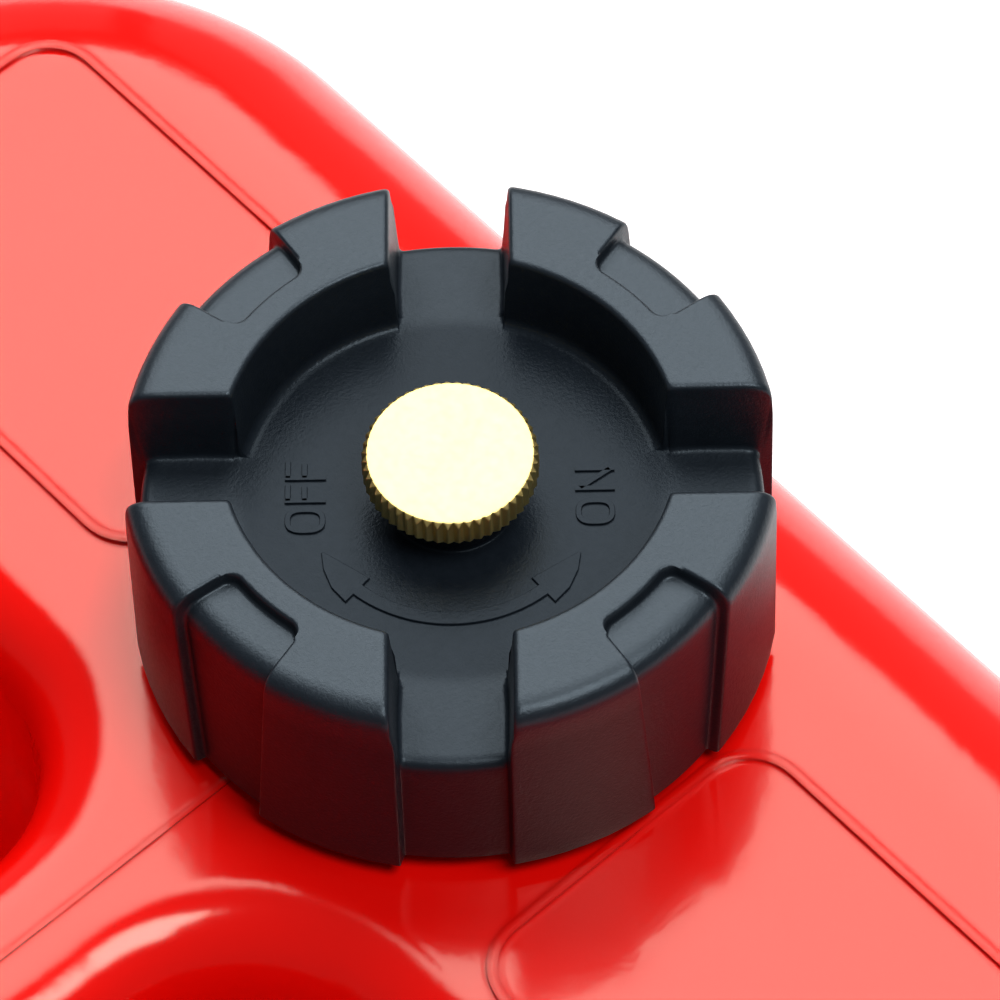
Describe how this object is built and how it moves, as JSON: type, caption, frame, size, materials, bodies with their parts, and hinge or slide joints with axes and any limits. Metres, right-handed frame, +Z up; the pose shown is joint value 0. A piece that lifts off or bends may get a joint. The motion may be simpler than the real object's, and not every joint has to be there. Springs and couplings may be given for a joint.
{
  "type": "outboard fuel tank",
  "caption": "Portable moulded fuel tank for an outboard motor, with a screw filler cap and vent screw, a carrying grip, a float gauge and a barbed fuel outlet.",
  "frame": {"origin": "middle of the tank's footprint, on the surface that the tank stands on", "axes": "+X towards the filler end, +Y across the tank, +Z up"},
  "size_m": [0.4806, 0.3, 0.2556],
  "materials": {
    "tank_red": "moulded polyethylene, half gloss, slightly rippled",
    "cap_black": "fine spark-eroded grain",
    "head_black": "moulded satin",
    "brass": "turned",
    "stainless": "bright",
    "rubber_black": "moulded",
    "clear_lens": "polished",
    "dial_white": "printed",
    "pointer_red": "moulded",
    "natural_plastic": "moulded, uncoloured",
    "float_foam": "closed-cell foam"
  },
  "bodies": {
    "tank": {"tank_shell": "tank_red", "head_inserts": "brass", "head_gasket": "rubber_black", "gauge_head": "head_black", "head_washers": "stainless", "head_screws": "stainless", "gauge_lens": "clear_lens", "lens_seal": "rubber_black", "gauge_dial": "dial_white", "gauge_guide": "natural_plastic", "outlet_elbow": "brass", "elbow_seal": "rubber_black", "pickup_tube": "natural_plastic", "pickup_screen": "natural_plastic"},
    "cap_seal": {"cap_gasket": "rubber_black"},
    "cap": {"filler_cap": "cap_black", "vent_bush": "brass"},
    "vent_seal": {"vent_washer": "rubber_black"},
    "vent": {"vent_screw": "brass", "vent_stop_ring": "stainless"},
    "float": {"gauge_float": "float_foam"},
    "spindle": {"gauge_spindle": "stainless", "gauge_pointer": "pointer_red"}
  },
  "joints": [
    {"name": "cap_rise", "type": "slide", "parent": "tank", "child": "cap_seal", "axis": [0, 0, 1], "range_m": [0, 0.0421]},
    {"name": "cap_turn", "type": "hinge", "parent": "cap_seal", "child": "cap", "pos_m": [0.182, 0, 0.236], "axis": [0, 0, 1], "range_deg": [0, 1260]},
    {"name": "vent_rise", "type": "slide", "parent": "cap", "child": "vent_seal", "axis": [0, 0, 1], "range_m": [0, 0.0025]},
    {"name": "vent_turn", "type": "hinge", "parent": "vent_seal", "child": "vent", "pos_m": [0.182, 0, 0.248], "axis": [0, 0, 1], "range_deg": [0, 720]},
    {"name": "float_rise", "type": "slide", "parent": "tank", "child": "float", "axis": [0, 0, 1], "range_m": [0, 0.171]},
    {"name": "spindle_turn", "type": "hinge", "parent": "tank", "child": "spindle", "pos_m": [-0.1405, 0, 0.1], "axis": [0, 0, 1], "range_deg": [-270, 0]}
  ],
  "couplings": [
    {"joint": "cap_rise", "follows": "cap_turn", "m_per_rad": 0.0019099},
    {"joint": "vent_turn", "follows": "vent_rise", "rad_per_m": 5026.5},
    {"joint": "spindle_turn", "follows": "float_rise", "rad_per_m": -27.526}
  ]
}
